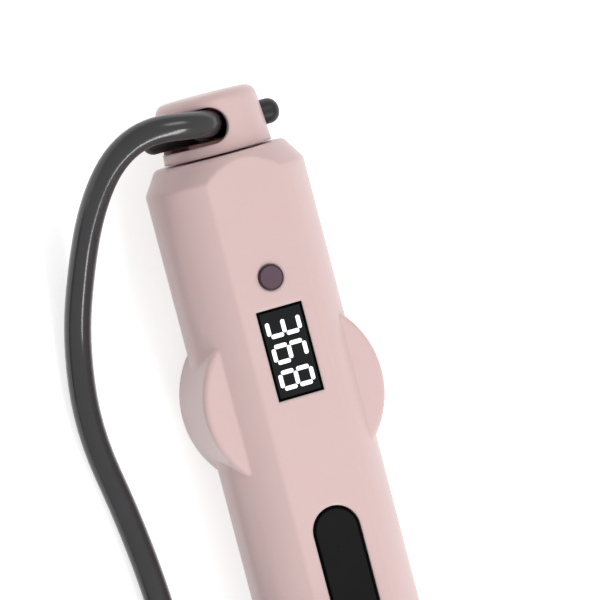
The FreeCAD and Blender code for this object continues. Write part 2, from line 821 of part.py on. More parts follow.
def cord_strap():
    """A soft strap round the coil's turns, cut from a ring with the coil's own curve."""
    body = new_body("cord_strap", x="coil_x", y="-coil_side", z="0")
    loops = []
    for name, grow in (("outside", "strap_thickness"), ("inside", "fit")):
        low, height, outer, inner = coil_blank(grow)
        corners = [(inner, low), (outer, low), (outer, f"{low} + {height}"), (inner, f"{low} + {height}")]
        loops.append(outline(body, "strap_" + name, "XZ_Plane", corners))
    turn = body.newObject("PartDesign::Revolution", "strap_turn")
    turn.Profile = loops[0]
    turn.ReferenceAxis = (loops[0], ["V_Axis"])
    bind(turn, Angle="strap_angle")
    hollow = body.newObject("PartDesign::Groove", "strap_hollow")
    hollow.Profile = loops[1]
    hollow.ReferenceAxis = (loops[1], ["V_Axis"])
    bind(hollow, Angle="strap_angle")
    body.Placement = Placement(body.Placement.Base, Rotation(Vector(0, 0, 1), SIZES["strap_turn"]))
    node("cord_strap", body)


def plug_body():
    half = "plug_width / 2"
    neck = "plug_neck_width / 2"
    corners = [
        ("0", f"-{half}"),
        ("plug_face_length", f"-{half}"),
        ("plug_length", f"-{neck}"),
        ("plug_length", neck),
        ("plug_face_length", half),
        ("0", half),
    ]
    body = padded("plug_body", "XY_Plane", corners, "plug_thickness", x="plug_x", y="-plug_side",
                  z="plug_thickness / 2")
    along_body = lambda e: abs(e.tangentAt(e.FirstParameter).z) < 0.1 and e.CenterOfMass.x > 0.1
    body_round(body, "plug_edges", "plug_round", along_body)
    holes = [rod(f"plug_hole_{n}", "plug_pin_core + fit / 2", "plug_x - 1", "plug_pin_root + 1",
                 y=y, z="plug_thickness / 2") for n, y in enumerate(plug_pin_sides())]
    body.Label = "plug_blank"
    node("plug_body", cut("plug_moulding", body, *holes))


def plug_pin_sides():
    return ["-plug_side - plug_pin_spacing / 2", "-plug_side + plug_pin_spacing / 2"]


def plug_pins():
    """Two round pins, each with an insulating sleeve next to the plug's face."""
    pins = []
    sleeves = []
    for n, y in enumerate(plug_pin_sides()):
        where = {"y": y, "z": "plug_thickness / 2"}
        tip = rod(f"pin_tip_{n}", "plug_pin_radius", "plug_x - plug_pin_length", "plug_pin_tip", **where)
        dome = rounded(f"pin_dome_{n}", tip, "plug_pin_radius * 0.45",
                       lambda e: is_circle(e) and e.CenterOfMass.x < amount("plug_x - plug_pin_length - boss_x") + 1)
        core = rod(f"pin_core_{n}", "plug_pin_core", "plug_x - plug_pin_length + 1",
                   "plug_pin_length - 1 + plug_pin_root", **where)
        pins.append(joined(f"pin_{n}", dome, core))
        length = "plug_pin_length - plug_pin_tip"
        sleeves.append(tube(f"sleeve_{n}", "plug_sleeve_radius", "plug_pin_core + fit / 2", f"plug_x - ({length})",
                            length, **where))
    node("plug_pins", group("plug_pins", pins))
    node("plug_sleeves", group("plug_sleeves", sleeves))


def plug_boot():
    """A ribbed cone that guards the cord where it leaves the plug."""
    start = "plug_x + plug_length"
    ribs = 4
    corners = [(start, "0"), (start, "plug_boot_radius")]
    slope = "(plug_boot_radius - plug_boot_tip) / plug_boot_length"
    for n in range(ribs):
        for part, depth in ((0.3, "0"), (0.3, "plug_boot_groove"), (0.6, "plug_boot_groove"), (0.6, "0")):
            along = f"plug_boot_length * {(n + part) / ribs}"
            corners.append((f"{start} + {along}", f"plug_boot_radius - {slope} * {along} - {depth}"))
    corners += [(f"{start} + plug_boot_length", "plug_boot_tip"), (f"{start} + plug_boot_length", "0")]
    node("plug_boot", turned("plug_boot", corners, y="-plug_side", z="plug_thickness / 2"))


def free_cord():
    coil = cord_coil()
    doc.recompute()
    length = cord_tube("cord_run", RUN_ROUTE, coil)
    length += cord_tube("cord_tail", TAIL_ROUTE, coil)
    length += COIL_TURNS * 2 * math.pi * SIZES["coil_radius"]
    print("cord length", round(length))
    cord_strap()
    plug_body()
    plug_pins()
    plug_boot()


# ---- Heat guard, barrel and heater ----


def side_rods(name, radius, x, near, far):
    """A pair of cylinders along Y, one on each side, from near to far off the axis."""
    length = f"({far}) - ({near})"
    right = rod(name + "_right", radius, near, length, along="Y", x=x)
    left = rod(name + "_left", radius, f"-({far})", length, along="Y", x=x)
    return [left, right]


def heat_guard_collar():
    grip = rod("spigot_round", "handle_radius - wall - fit", "handle_length - spigot_length", "spigot_length + 1")
    flats = block("spigot_flats", "handle_length - spigot_length", "spigot_length + 1", "2 * handle_radius",
                  "wall + fit", f"{FRONT} - 2 * wall - 2 * fit")
    spigot = common("collar_spigot", grip, flats)
    cone = turned("collar_cone", [
        ("handle_length", "0"),
        ("handle_length", "collar_radius"),
        (BARREL_START, "collar_nose"),
        (BARREL_START, "0"),
    ])
    limit = block("collar_flats", "handle_length - 1", "collar_length + 2", "3 * handle_radius", "0", FRONT)
    flange = common("collar_flange", cone, limit)
    nose = rod("collar_nose_rod", f"{BARREL_INSIDE} - fit", f"{BARREL_START} - 1", "seat_length + 1")
    lug_start = f"({BARREL_START} - collar_length / 2)"
    lug_y = "(stand_width / 2 + lug_gap + lug_thickness / 2)"
    lugs = [
        block(f"stand_lug_{n}", lug_start, f"collar_length / 2 + lug_length", "lug_thickness", "0", "lug_height", y=y)
        for n, y in enumerate((lug_y, "-" + lug_y))
    ]
    bore = rod("collar_wire_bore", "collar_bore", "handle_length - spigot_length - 1",
               "spigot_length + collar_length + seat_length + 2")
    pin_hole = rod("stand_lug_bore", "stand_pin_radius + fit / 2", "-stand_width", "2 * stand_width", along="Y",
                   x=STAND_PIVOT, z="stand_pin_height")
    screw_holes = side_rods("collar_screw_hole", "screw_radius + 0.1", f"{BARREL_START} + barrel_screw_inset",
                            "collar_bore - 1", "barrel_radius + 1")
    solid = joined("collar_solid", spigot, flange, nose, *lugs)
    node("heat_guard_collar", cut("heat_guard_collar", solid, bore, pin_hole, *screw_holes))


def barrel_tube():
    shell = tube("barrel_shell", "barrel_radius", BARREL_INSIDE, BARREL_START, "barrel_length")
    holes = []
    for n, x in enumerate((f"{BARREL_START} + barrel_screw_inset", f"{BARREL_END} - barrel_screw_inset")):
        holes += side_rods(f"barrel_hole_{n}", "screw_head_radius + fit", x, f"{BARREL_INSIDE} - 2",
                           "barrel_radius + 1")
    node("barrel_tube", cut("barrel_tube", shell, *holes))


def barrel_screws(name, x):
    """A pair of screws through the barrel's wall, heads flush with its outside."""
    heads = side_rods(name + "_head", "screw_head_radius", x, f"{BARREL_INSIDE} + fit", "barrel_radius - fit")
    shanks = side_rods(name + "_shank", "screw_radius", x, f"{BARREL_INSIDE} - 3", f"{BARREL_INSIDE} + 0.3")
    pair = [joined(f"{name}_{n}", head, shank) for n, (head, shank) in enumerate(zip(heads, shanks))]
    node(name, group(name, pair))


def cool_tip():
    slope_start = f"({BARREL_END} + tip_length - tip_slope)"
    end = f"({BARREL_END} + tip_length)"
    inside = f"({BARREL_INSIDE} - tip_wall)"
    body = turned("tip_blank", [
        (f"{BARREL_END} - tip_spigot", inside),
        (f"{BARREL_END} - tip_spigot", f"{BARREL_INSIDE} - fit"),
        (BARREL_END, f"{BARREL_INSIDE} - fit"),
        (BARREL_END, "tip_radius"),
        (slope_start, "tip_radius"),
        (end, "tip_end_radius"),
        (end, "0"),
        (f"{end} - tip_wall", "0"),
        (f"{end} - tip_wall", "tip_end_radius - tip_wall"),
        (f"{slope_start} - tip_wall", inside),
    ])
    edge_x = amount(slope_start) - 0.1
    outer = amount("tip_end_radius") - 0.1
    wanted = lambda e: is_circle(e) and e.CenterOfMass.x > edge_x and e.Curve.Radius > outer
    body_round(body, "tip_rounds", "tip_round", wanted)
    holes = side_rods("tip_screw_hole", "screw_radius + 0.1", f"{BARREL_END} - barrel_screw_inset",
                      f"{BARREL_INSIDE} - tip_wall - 1", "barrel_radius + 1")
    node("cool_tip", cut("cool_tip", body, *holes))


def core_half_gap():
    return "(stone_thickness / 2 + fit + mica)"


def heater():
    """Two half-round cores that press a row of ceramic heating stones between them."""
    gap = core_half_gap()
    round_bar = f"{BARREL_INSIDE} - fit"
    cores = []
    for n, (low, side) in enumerate(((f"axis_height + {gap}", "+"), (f"axis_height - {gap} - barrel_radius", "-"))):
        bar = rod(f"core_bar_{n}", round_bar, HEATER_START, "heater_length")
        half = block(f"core_half_{n}", HEATER_START, "heater_length", "2 * barrel_radius", low, "barrel_radius")
        channel = rod(f"core_channel_{n}", "channel_radius", f"{HEATER_START} - 1", "heater_length + 2",
                      z=f"axis_height {side} channel_height")
        cores.append(cut(f"core_{n}", common(f"core_solid_{n}", bar, half), channel))
    node("heater_cores", group("heater_cores", cores))
    stones = [
        block(f"stone_{n}", f"{HEATER_START} + 2 + {n} * stone_pitch", "stone_length", "stone_width",
              "axis_height - stone_thickness / 2", "stone_thickness")
        for n in range(3)
    ]
    node("heating_stones", group("heating_stones", stones))
    width = "stone_width + 2 * fit"
    outside = block("mica_outside", HEATER_START, "heater_length", f"{width} + 2 * mica", f"axis_height - {gap}",
                    f"2 * {gap}")
    inside = block("mica_inside", f"{HEATER_START} - 1", "heater_length + 2", width,
                   "axis_height - stone_thickness / 2 - fit", "stone_thickness + 2 * fit")
    node("mica_sleeve", cut("mica_sleeve", outside, inside))


def heater_sensors():
    floor = "channel_height - channel_radius + fit"
    node("thermistor", rod("thermistor", "bead_radius", f"{HEATER_START} + 6", "bead_length",
                           z=f"axis_height + {floor} + bead_radius"))
    low = "channel_height + channel_radius - fit"
    node("thermal_fuse", rod("thermal_fuse", "fuse_radius", f"{HEATER_START} + 6", "fuse_length",
                             z=f"axis_height - ({low}) + fuse_radius"))
    start = "board_x + board_length - lead_overlap"
    leads = [
        rod(f"lead_{n}", "lead_radius", start, f"{HEATER_START} - ({start})", y=y, z="board_height - lead_radius")
        for n, y in enumerate(("lead_side", "-lead_side"))
    ]
    node("heater_leads", group("heater_leads", leads))


# ---- Clamp ----

PIN_Z = "(axis_height + pivot_height)"


def pivot_bracket():
    base = block("bracket_base", f"{PIVOT} - bracket_length / 2", "bracket_length", "bracket_width",
                 "axis_height + barrel_radius / 2", "bracket_top - barrel_radius / 2")
    ears = []
    side = "((bracket_width - ear_thickness) / 2)"
    for n, y in enumerate((side, "-" + side)):
        foot = "axis_height + bracket_top - 1"
        ears.append(block(f"ear_{n}", f"{PIVOT} - ear_radius", "2 * ear_radius", "ear_thickness", foot,
                          f"{PIN_Z} - ({foot})", y=y))
        ears.append(rod(f"ear_round_{n}", "ear_radius", f"{y} - ear_thickness / 2", "ear_thickness", along="Y",
                        x=PIVOT, z=PIN_Z))
    saddle = rod("bracket_saddle", "barrel_radius + fit / 2", BARREL_START, "barrel_length")
    hole = rod("bracket_pin_hole", "pivot_pin_radius + fit / 2", "-bracket_width", "2 * bracket_width", along="Y",
               x=PIVOT, z=PIN_Z)
    node("pivot_bracket", cut("pivot_bracket", joined("bracket_solid", base, *ears), saddle, hole))
    node("clamp_pivot_pin", rod("clamp_pivot_pin", "pivot_pin_radius", "-pivot_pin_length / 2", "pivot_pin_length",
                                along="Y", x=PIVOT, z=PIN_Z))


def clamp_spring():
    """A wound spring round the pivot pin, with one leg on the bracket's side and one under the lever."""
    helix = doc.addObject("Part::Helix", "spring_line")
    bind(helix, Radius="spring_radius", Pitch="spring_pitch", Height="spring_pitch * spring_turns")
    ring = doc.addObject("Part::Circle", "spring_section")
    bind(ring, Radius="spring_wire")
    ring.Placement = Placement(Vector(), Rotation(Vector(1, 0, 0), 90))
    bind(ring, **{"Placement.Base.x": "spring_radius"})
    sweep = doc.addObject("Part::Sweep", "spring_coil")
    sweep.Sections = [ring]
    sweep.Spine = (helix, [])
    sweep.Solid = True
    sweep.Frenet = True
    turn = Rotation(Vector(0, 1, 0), 90) * Rotation(Vector(1, 0, 0), -90)
    half = "spring_pitch * spring_turns / 2"
    place(sweep, PIVOT, f"-{half}", PIN_Z, turn)
    front = rod("spring_front_leg", "spring_wire", PIVOT, "bracket_length / 2", y=f"-{half}",
                z=f"{PIN_Z} - spring_radius")
    rear = rod("spring_rear_leg", "spring_wire", f"{PIVOT} - spring_leg", "spring_leg", y=half,
               z=f"{PIN_Z} + spring_radius")
    node("clamp_spring", joined("clamp_spring", sweep, front, rear))


def rivet_places():
    return [f"{CLAMP_START} + rivet_inset", f"{CLAMP_START} + rivet_inset + rivet_pitch"]


def rivet_holes(name, z, height):
    return [
        rod(f"{name}_{n}", "rivet_radius + fit / 2", z, height, along="Z", x=x)
        for n, x in enumerate(rivet_places())
    ]


def clamp_plate():
    """A curved plate over the barrel, with a raised crown that the lever is riveted to."""
    inside = "(barrel_radius + air)"
    sector = doc.addObject("Part::Cylinder", "clamp_sector")
    bind(sector, Radius=f"{inside} + clamp_thickness", Height="clamp_length", Angle="clamp_angle")
    turn = ALONG["X"] * Rotation(Vector(0, 0, 1), 180 - SIZES["clamp_angle"] / 2)
    place(sector, CLAMP_START, "0", "axis_height", turn)
    crown = block("clamp_crown", CLAMP_START, "crown_length", "crown_width", "axis_height + barrel_radius - 1",
                  "crown_height - barrel_radius + 1")
    hollow = rod("clamp_hollow", inside, f"{CLAMP_START} - 1", "clamp_length + 2")
    holes = rivet_holes("crown_hole", "axis_height", "crown_height + 1")
    node("clamp_plate", cut("clamp_plate", joined("clamp_solid", sector, crown), hollow, *holes))


def lever_rear():
    return f"({PIVOT} - lever_ear_radius * 2)"


def thumb_lever():
    """A bent strip: flat on the clamp's crown, up over the pivot, then rising back over the handle."""
    seat = "(axis_height + crown_height)"
    bridge = "(axis_height + lever_bridge)"
    tip = "(axis_height + lever_tip_height)"
    low_line = [
        (f"{CLAMP_START} + crown_length", seat),
        (f"{CLAMP_START} + 1", seat),
        (f"{PIVOT} + 2 * lever_ear_radius", bridge),
        (lever_rear(), bridge),
        (f"{BARREL_START} - lever_tip_x", tip),
    ]
    high_line = [(x, f"{z} + lever_thickness") for x, z in reversed(low_line)]
    strip = padded("lever_strip", "XZ_Plane", low_line + high_line, "lever_width")
    ears = []
    side = "((lever_width - lever_ear_width) / 2)"
    for n, y in enumerate((side, "-" + side)):
        ears.append(rod(f"lever_ear_round_{n}", "lever_ear_radius", f"{y} - lever_ear_width / 2", "lever_ear_width",
                        along="Y", x=PIVOT, z=PIN_Z))
        ears.append(block(f"lever_ear_{n}", f"{PIVOT} - lever_ear_radius", "2 * lever_ear_radius", "lever_ear_width",
                          PIN_Z, f"{bridge} + 0.2 - {PIN_Z}", y=y))
    hole = rod("lever_pin_hole", "pivot_pin_radius + fit", "-lever_width", "2 * lever_width", along="Y", x=PIVOT,
               z=PIN_Z)
    holes = rivet_holes("lever_hole", seat + " - 1", "lever_thickness + 2")
    node("thumb_lever", cut("thumb_lever", joined("lever_solid", strip, *ears), hole, *holes))


def lever_rivets():
    rivets = []
    foot = "axis_height + barrel_radius + air + fit"
    top = "axis_height + crown_height + lever_thickness"
    for n, x in enumerate(rivet_places()):
        shank = rod(f"rivet_shank_{n}", "rivet_radius", foot, f"{top} - ({foot}) + 0.1", along="Z", x=x)
        head = rod(f"rivet_head_{n}", "rivet_head_radius", top, "rivet_head", along="Z", x=x)
        rivets.append(joined(f"rivet_{n}", shank, head))
    node("lever_rivets", group("lever_rivets", rivets))


def lever_grip():
    """A thick thumb pad that lies on the sloping end of the lever."""
    tip_x = f"({BARREL_START} - lever_tip_x)"
    rise = "(lever_tip_height - lever_bridge)"
    slope = f"({rise} / ({lever_rear()} - {tip_x}))"
    top = "(axis_height + lever_tip_height + lever_thickness)"
    rear = f"({tip_x} - grip_overhang)"
    ahead = f"({tip_x} + grip_length)"
    corners = [
        (rear, f"{top} + {slope} * grip_overhang"),
        (ahead, f"{top} - {slope} * grip_length"),
        (ahead, f"{top} - {slope} * grip_length + grip_thickness"),
        (rear, f"{top} + {slope} * grip_overhang + grip_thickness"),
    ]
    body = padded("lever_grip", "XZ_Plane", corners, "grip_width")
    middle = amount(top) - amount(slope) * amount("(grip_length - grip_overhang) / 2") + amount("grip_thickness / 2")
    upper = lambda e: e.CenterOfMass.z > middle or abs(e.tangentAt(e.FirstParameter).z) > 0.9
    body_round(body, "grip_rounds", "grip_round", upper)
    node("lever_grip", body)


# ---- Stand ----


def stand_leg():
    """A flat leg that folds up under the barrel and swings down to hold the hot end off the table."""
    hub = rod("stand_hub", "stand_hub_radius", "-stand_width / 2", "stand_width", along="Y", x=STAND_PIVOT,
              z="stand_pin_height")
    reach = "stand_length - stand_width / 2"
    plate = block("stand_plate", STAND_PIVOT, reach, "stand_width", "0", "stand_thickness")
    foot = rod("stand_foot", "stand_width / 2", "0", "stand_thickness", along="Z", x=f"{STAND_PIVOT} + {reach}")
    window = rod("stand_window_hole", "stand_window / 2", "-1", "stand_thickness + 2", along="Z",
                 x=f"{STAND_PIVOT} + {reach}")
    bore = rod("stand_bore", "stand_pin_radius + fit", "-stand_width", "2 * stand_width", along="Y", x=STAND_PIVOT,
               z="stand_pin_height")
    node("stand_leg", cut("stand_leg", joined("stand_solid", hub, plate, foot), bore, window))
    half = "(stand_width / 2 + lug_gap + lug_thickness)"
    node("stand_pin", rod("stand_pin", "stand_pin_radius", "-" + half, "2 * " + half, along="Y", x=STAND_PIVOT,
                          z="stand_pin_height"))


# ---- The whole iron ----


def build():
    front_housing()
    rear_cover()
    pan_screws("housing_screws", post_places(), "screw_head_depth / 4", "screw_length", "screw_head_depth")
    display()
    board()
    pan_screws("board_screws", board_screw_places(), "board_height - screw_head_depth",
               "screw_head_depth + board_thickness + 3.5", "screw_head_depth")
    switches()
    board_parts()
    power_button()
    temperature_rocker()
    swivel_socket()
    swivel_spindle()
    slip_contacts()
    swivel_cap()
    cord_anchor()
    free_cord()
    heat_guard_collar()
    barrel_tube()
    barrel_screws("barrel_screws", f"{BARREL_START} + barrel_screw_inset")
    cool_tip()
    barrel_screws("tip_screws", f"{BARREL_END} - barrel_screw_inset")
    heater()
    heater_sensors()
    pivot_bracket()
    clamp_spring()
    clamp_plate()
    thumb_lever()
    lever_rivets()
    lever_grip()
    stand_leg()


def check():
    """Stops if any object failed or any piece is not a sound solid."""
    for thing in doc.Objects:
        if {"Invalid", "Error"} & set(thing.State):
            raise ValueError(f"{thing.Name} failed: {thing.State}")
    for name, thing in NODES.items():
        shape = thing.Shape
        if shape.isNull() or not shape.isValid() or not shape.Solids:
            raise ValueError(f"{name} is not a sound solid")


def write():
    os.makedirs("parts", exist_ok=True)
    for name, thing in NODES.items():
        thing.Shape.exportStep(f"parts/{name}.step")
    print("pieces", len(NODES))


build()
doc.recompute()
check()
write()
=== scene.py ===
# %% [markdown]
# # A curling iron, from its maker's frame
# The pieces come from a solid model: a pink handle with a readout, a push button and a rocker, a
# barrel with a clamp, and a lead on a swivel. This notebook gives each piece its finish, copies the
# clamp's spring, makes the lead as one smooth curve with a strap round its coil, lights the
# readout's figures, and sets a camera, a table, two lamps and a sky.

# %% Load the frame
import json
import math
import bmesh
import bpy
from mathutils import Matrix, Vector


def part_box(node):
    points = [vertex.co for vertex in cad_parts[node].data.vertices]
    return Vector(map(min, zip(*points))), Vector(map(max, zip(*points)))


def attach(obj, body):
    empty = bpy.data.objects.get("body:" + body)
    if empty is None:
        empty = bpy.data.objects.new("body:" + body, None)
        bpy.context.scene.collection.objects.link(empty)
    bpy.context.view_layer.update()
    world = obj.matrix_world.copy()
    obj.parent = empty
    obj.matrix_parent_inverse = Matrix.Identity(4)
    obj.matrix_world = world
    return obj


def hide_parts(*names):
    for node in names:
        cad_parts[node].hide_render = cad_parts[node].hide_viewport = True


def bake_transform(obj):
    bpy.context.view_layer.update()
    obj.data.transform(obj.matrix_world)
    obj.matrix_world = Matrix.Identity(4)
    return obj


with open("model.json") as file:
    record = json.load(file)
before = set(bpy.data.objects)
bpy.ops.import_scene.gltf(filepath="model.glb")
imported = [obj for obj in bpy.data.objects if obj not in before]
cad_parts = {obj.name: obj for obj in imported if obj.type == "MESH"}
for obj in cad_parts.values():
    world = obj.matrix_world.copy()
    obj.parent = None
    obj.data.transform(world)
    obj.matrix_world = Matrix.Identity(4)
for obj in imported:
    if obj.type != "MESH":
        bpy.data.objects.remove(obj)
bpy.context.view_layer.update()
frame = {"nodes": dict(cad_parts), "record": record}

# %% [markdown]
# ## Where things are
# Sizes of a hand tool are read in millimetres from the end of its handle, so one helper turns such
# a place into metres in the frame, whose origin is under the round boss of the readout.

# %% Places in millimetres
BOSS_X = 57.9
AXIS_HEIGHT = 16.6


def at(x, y, z):
    return Vector(((x - BOSS_X) / 1000, y / 1000, z / 1000))


def in_scene(name, data):
    """An object of the scene that shows this data."""
    made = bpy.data.objects.new(name, data)
    bpy.context.scene.collection.objects.link(made)
    return made


print("tail of the handle", [round(v, 4) for v in at(0, 0, AXIS_HEIGHT)])

# %% [markdown]
# ## The camera
# A product picture is taken from far off with a long lens, so that the handle's sides stay almost
# parallel. The three directions below are the camera's own right, up and back, and they make its
# turning directly, with nothing to aim by eye.

# %% Camera
PICTURE_WIDTH = 0.1401
LENS = 300.0
SENSOR = 36.0
LOOK_AT = Vector((-0.0202, 0.00935, 0.01925))
LEAN = math.radians(4.0)
SIDE = math.radians(15.8)
ROLL = math.radians(14.7)

back = Vector((-math.sin(LEAN), -math.sin(SIDE) * math.cos(LEAN), math.cos(SIDE) * math.cos(LEAN)))
across = Vector((0, math.cos(SIDE), math.sin(SIDE)))
upward = Vector((
    -math.cos(LEAN), math.sin(SIDE) * math.sin(LEAN), -math.cos(SIDE) * math.sin(LEAN)))
right = across * math.cos(ROLL) - upward * math.sin(ROLL)
up = across * math.sin(ROLL) + upward * math.cos(ROLL)

camera_data = bpy.data.cameras.new("product_camera")
camera_data.type = "PERSP"
camera_data.lens = LENS
camera_data.sensor_width = SENSOR
camera_data.clip_start = 0.05
camera_data.clip_end = 50
camera = in_scene("product_camera", camera_data)
distance = PICTURE_WIDTH * LENS / SENSOR
turning = Matrix((right, up, back)).transposed().to_4x4()
camera.matrix_world = Matrix.Translation(LOOK_AT + back * distance) @ turning
bpy.context.scene.camera = camera
print("camera distance", round(distance, 3))

# %% [markdown]
# ## Sums on shader sockets
# A finish is a graph of nodes, and long graphs are hard to read as lists of links. Wrapping a
# socket in a small class lets the sums be written as sums: every operator adds one Math node.

# %% Sockets that can be added and multiplied


class Amount:
    """A number that varies over a surface. Operators on it add Math nodes."""

    def __init__(self, finish, socket):
        self.finish = finish
        self.socket = socket

    def sum(self, operation, *others):
        values = dict(enumerate((self,) + others))
        return self.finish.node("ShaderNodeMath", {"operation": operation}, values)

    def __add__(self, other):
        return self.sum("ADD", other)

    def __mul__(self, other):
        return self.sum("MULTIPLY", other)

    def __sub__(self, other):
        return self.sum("SUBTRACT", other)

    def __abs__(self):
        return self.sum("ABSOLUTE")

    def above(self, other):
        return self.sum("GREATER_THAN", other)

    def larger(self, other):
        return self.sum("MAXIMUM", other)

    def smaller(self, other):
        return self.sum("MINIMUM", other)


class Finish:
    """A new material and the nodes in it, or just the nodes in a tree that is there already."""

    def __init__(self, name, tree=None):
        if tree is None:
            self.material = bpy.data.materials.new(name)
            self.material.use_nodes = True
            tree = self.material.node_tree
        self.tree = tree
        self.tree.nodes.clear()

    def node(self, kind, settings=None, values=None, out=0):
        made = self.tree.nodes.new(kind)
        for key, value in (settings or {}).items():
            if key == "stops":
                ramp = made.color_ramp
                while len(ramp.elements) < len(value):
                    ramp.elements.new(0.5)
                for element, (place, colour) in zip(ramp.elements, value):
                    element.position = place
                    element.color = (*colour, 1)
            else:
                setattr(made, key, value)
        for key, value in (values or {}).items():
            self.feed(made.inputs[key], value)
        return Amount(self, made.outputs[out])

    def feed(self, socket, value):
        if isinstance(value, Amount):
            self.tree.links.new(value.socket, socket)
        elif isinstance(value, tuple) and len(value) == 3 and socket.type == "RGBA":
            socket.default_value = (*value, 1)
        else:
            socket.default_value = value

    def place(self, scale=(1, 1, 1), shift=(0, 0, 0)):
        """Object coordinates, in metres, moved and scaled."""
        spot = self.node("ShaderNodeTexCoord", out=3)
        moved = {"Vector": spot, "Location": shift, "Scale": scale}
        return self.node("ShaderNodeMapping", None, moved)

    def noise(self, scale, detail=2.0, stretch=(1, 1, 1)):
        """A cloudy pattern, with this many clouds to a metre."""
        clouds = {"Vector": self.place(stretch), "Scale": scale, "Detail": detail}
        return self.node("ShaderNodeTexNoise", None, clouds)

    def blend(self, mask, first, second):
        """One colour where the mask is 0 and another where it is 1."""
        ends = {0: mask, 6: first, 7: second}
        return self.node("ShaderNodeMix", {"data_type": "RGBA"}, ends, out=2)

    def relief(self, height, depth, strength=1.0):
        bumps = {"Height": height, "Distance": depth, "Strength": strength}
        return self.node("ShaderNodeBump", None, bumps)

    def surface(self, **values):
        """The shader itself. An underscore in a name stands for a space."""
        named = {key.replace("_", " "): value for key, value in values.items()}
        shader = self.node("ShaderNodeBsdfPrincipled", None, named)
        end = self.tree.nodes.new("ShaderNodeOutputMaterial")
        self.tree.links.new(shader.socket, end.inputs["Surface"])
        return self.material


def linear(red, green, blue):
    """A colour as a screen writes it, 0 to 255, as the light it stands for."""
    return tuple(
        ((c / 255 + 0.055) / 1.055) ** 2.4 if c > 10 else c / 255 / 12.92
        for c in (red, green, blue))


def shade(colour, factor):
    return tuple(min(1.0, c * factor) for c in colour)


print("pink as light", [round(c, 3) for c in linear(223, 199, 197)])

# %% [markdown]
# ## Moulded plastic and rubber
# Injection moulded plastic takes the fine spark texture of its steel mould, and its colour drifts a
# little where the melt cooled slower. One function makes that kind of finish: a slow cloud in the
# colour, another in the roughness, and a fine grain in the relief. Where two faces of a moulding
# meet, the steel has a small radius, which a Bevel node gives to the light without changing the
# piece. Light also sinks a little way into the pink shell and comes out redder, so its shaded
# sides stay warm.

# %% Moulded finishes
SINK_DEPTH = 0.0016
SINKS_BY_COLOUR = (1.0, 0.35, 0.3)
MOULDED_GLOSS = 0.45
GRAIN_STRENGTH = 0.35


def moulded(name, colour, roughness, drift=0.03, grain=9000, depth=0.00001,
            soft_edge=None, glow=0.0):
    finish = Finish(name)
    cloud = finish.noise(45, 3)
    tint = finish.blend(cloud, shade(colour, 1 - drift), shade(colour, 1 + drift))
    fine = finish.noise(grain, 2)
    wear = finish.noise(160, 4)
    values = {"Height": fine, "Distance": depth, "Strength": GRAIN_STRENGTH}
    if soft_edge:
        values["Normal"] = finish.node("ShaderNodeBevel", {"samples": 6}, {"Radius": soft_edge})
    return finish.surface(
        Base_Color=tint,
        Roughness=wear * 0.12 + (roughness - 0.06),
        Normal=finish.node("ShaderNodeBump", None, values),
        Subsurface_Weight=glow,
        Subsurface_Radius=SINKS_BY_COLOUR,
        Subsurface_Scale=SINK_DEPTH,
        Specular_IOR_Level=MOULDED_GLOSS,
    )


finishes = {
    "pink_housing": moulded("pink_housing", linear(227, 199, 197), 0.33, drift=0.02, grain=6000,
                            depth=0.000012, soft_edge=0.0011, glow=0.3),
    "heat_guard": moulded("heat_guard", linear(46, 44, 45), 0.5, 0.08),
    "swivel_plastic": moulded("swivel_plastic", linear(190, 140, 138), 0.45),
    "bar_plastic": moulded("bar_plastic", linear(36, 35, 36), 0.45, 0.1),
    "black_component": moulded("black_component", linear(34, 34, 35), 0.6, drift=0.1, grain=4000,
                               depth=0.00002),
}
print("moulded finishes", sorted(finishes))

# %% [markdown]
# ## Rubber and insulated wire
# A lead's jacket is extruded PVC: duller than a moulding, with faint marks along it and a narrow
# soft highlight. The thin wires inside the handle have a woven glass sleeve.

# %% Jacket and wire
JACKET_RELIEF = 0.000012


def jacket(name, colour, roughness):
    finish = Finish(name)
    cloud = finish.noise(120, 4)
    tint = finish.blend(cloud, shade(colour, 0.88), shade(colour, 1.12))
    fine = finish.noise(3500, 3)
    return finish.surface(
        Base_Color=tint,
        Roughness=finish.noise(400, 3) * 0.1 + (roughness - 0.05),
        Normal=finish.relief(fine, JACKET_RELIEF, 0.3),
    )


def woven(name, colour, threads, depth):
    """Two sets of ridges that cross, as over-and-under threads do."""
    finish = Finish(name)
    one, two, three = (
        finish.node("ShaderNodeTexWave", {"bands_direction": way},
                    {"Vector": finish.place(), "Scale": threads}, "Fac")
        for way in "XYZ"
    )
    weave = one.larger(two).larger(three) * 0.7 + finish.noise(900, 3) * 0.3
    return finish.surface(
        Base_Color=finish.blend(weave, shade(colour, 0.6), shade(colour, 1.25)),
        Roughness=weave * 0.2 + 0.7,
        Normal=finish.relief(weave, depth, 0.8),
    )


finishes["cord_rubber"] = jacket("cord_rubber", linear(58, 57, 59), 0.17)
finishes["strap_fabric"] = woven("strap_fabric", linear(40, 40, 42), 260, 0.0002)
finishes["wire"] = woven("wire", linear(225, 222, 212), 700, 0.0001)
print("soft finishes", sorted(set(finishes) & {"cord_rubber", "strap_fabric", "wire"}))

# %% [markdown]
# ## Metals
# Turned and drawn metal shows fine lines the way the tool ran. Stretching a cloud pattern along
# one direction makes those lines, which then break up the roughness rather than the colour.

# %% Metal finishes
METAL_RELIEF = 0.0000012


def metal(name, colour, roughness, lines, fineness=2500, coat=0.0):
    finish = Finish(name)
    streaks = finish.noise(fineness, 3, lines)
    cloud = finish.noise(60, 3)
    return finish.surface(
        Base_Color=finish.blend(cloud, shade(colour, 0.93), shade(colour, 1.05)),
        Metallic=1.0,
        Roughness=streaks * 0.2 + (roughness - 0.1),
        Normal=finish.relief(streaks, METAL_RELIEF, 0.3),
        Coat_Weight=coat,
    )


